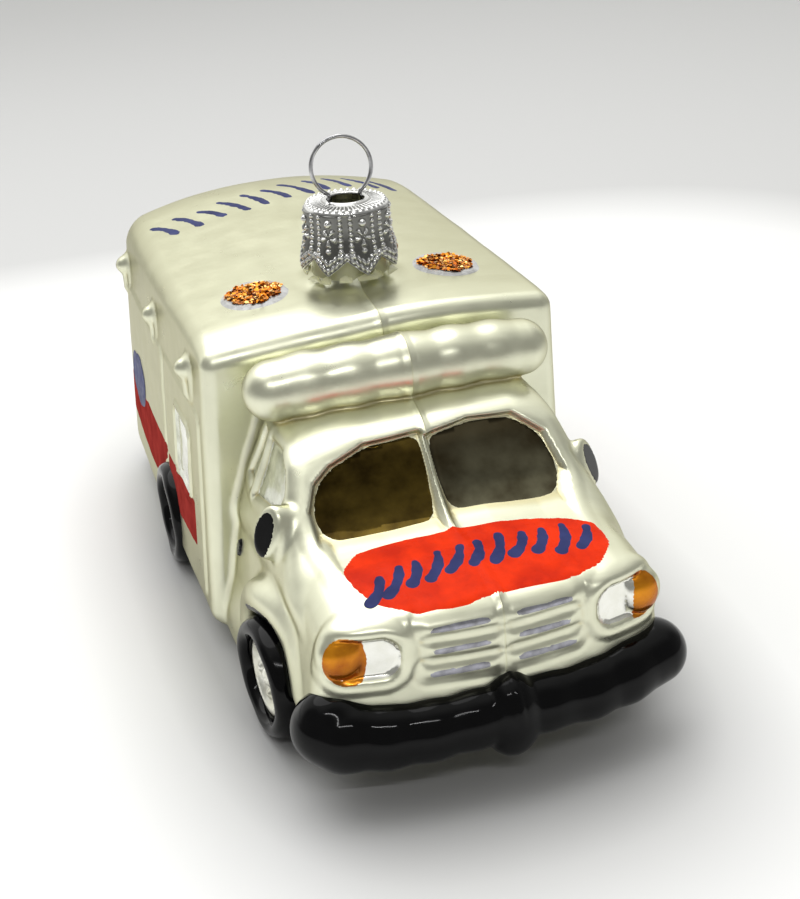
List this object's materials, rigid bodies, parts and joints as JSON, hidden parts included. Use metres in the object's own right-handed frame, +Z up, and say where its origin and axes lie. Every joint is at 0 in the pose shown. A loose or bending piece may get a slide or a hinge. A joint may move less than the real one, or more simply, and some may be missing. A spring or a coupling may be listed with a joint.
{
  "type": "glass ambulance ornament",
  "caption": "Blown-glass hanging ornament shaped like a box ambulance, pearl lacquered, with a crown cap that pulls off its neck and a wire ring that turns in the cap.",
  "frame": {"origin": "middle of the ornament's outline in X and Y, at the ground under its tyres", "axes": "+Z up, -Y the way the vehicle faces, +X the vehicle's left side"},
  "size_m": [0.0502, 0.1026, 0.058],
  "materials": {
    "pearl_glass": "pearl lacquer over silvered glass",
    "bare_glass": "clear glass neck, silvered inside",
    "silver_pane": "bare silvered glass",
    "lamp_silver": "bare silvered glass",
    "amber": "transparent amber lacquer on silver",
    "amber_glitter": "amber glitter in glue",
    "beacon_silver": "silver paint",
    "grille_silver": "silver paint",
    "gloss_black": "glossy black lacquer",
    "hub_silver": "silvered glass, satin",
    "cap_metal": "bright stamped",
    "ring_wire": "bright spring wire"
  },
  "bodies": {
    "glass": {"beacon_glitter_left": "amber_glitter", "beacon_glitter_right": "amber_glitter", "beacon_ring_left": "beacon_silver", "beacon_ring_right": "beacon_silver", "box_window_left": "silver_pane", "box_window_right": "silver_pane", "door_handle_left": "gloss_black", "door_handle_right": "gloss_black", "door_window_left": "silver_pane", "door_window_right": "silver_pane", "front_bumper": "gloss_black", "glass_body": "pearl_glass", "grille_bars": "grille_silver", "headlamp_left": "lamp_silver", "headlamp_right": "lamp_silver", "hub_front_left": "hub_silver", "hub_front_right": "hub_silver", "hub_rear_left": "hub_silver", "hub_rear_right": "hub_silver", "indicator_left": "amber", "indicator_right": "amber", "light_bar": "pearl_glass", "mirror_face_left": "gloss_black", "mirror_face_right": "gloss_black", "mirror_housing_left": "pearl_glass", "mirror_housing_right": "pearl_glass", "neck": "bare_glass", "rear_bumper": "gloss_black", "rear_windows": "silver_pane", "side_lamps_left": "pearl_glass", "side_lamps_right": "pearl_glass", "tyre_front_left": "gloss_black", "tyre_front_right": "gloss_black", "tyre_rear_left": "gloss_black", "tyre_rear_right": "gloss_black", "windshield_left": "silver_pane", "windshield_right": "silver_pane"},
    "cap": {"cap": "cap_metal"},
    "ring": {"hanger_ring": "ring_wire"}
  },
  "joints": [
    {"name": "cap_lift", "type": "slide", "parent": "glass", "child": "cap", "axis": [0, 0, 1], "range_m": [0, 0.02]},
    {"name": "ring_turn", "type": "hinge", "parent": "cap", "child": "ring", "pos_m": [0, 0.0014, 0.04965], "axis": [0, 0, 1], "continuous": true}
  ]
}
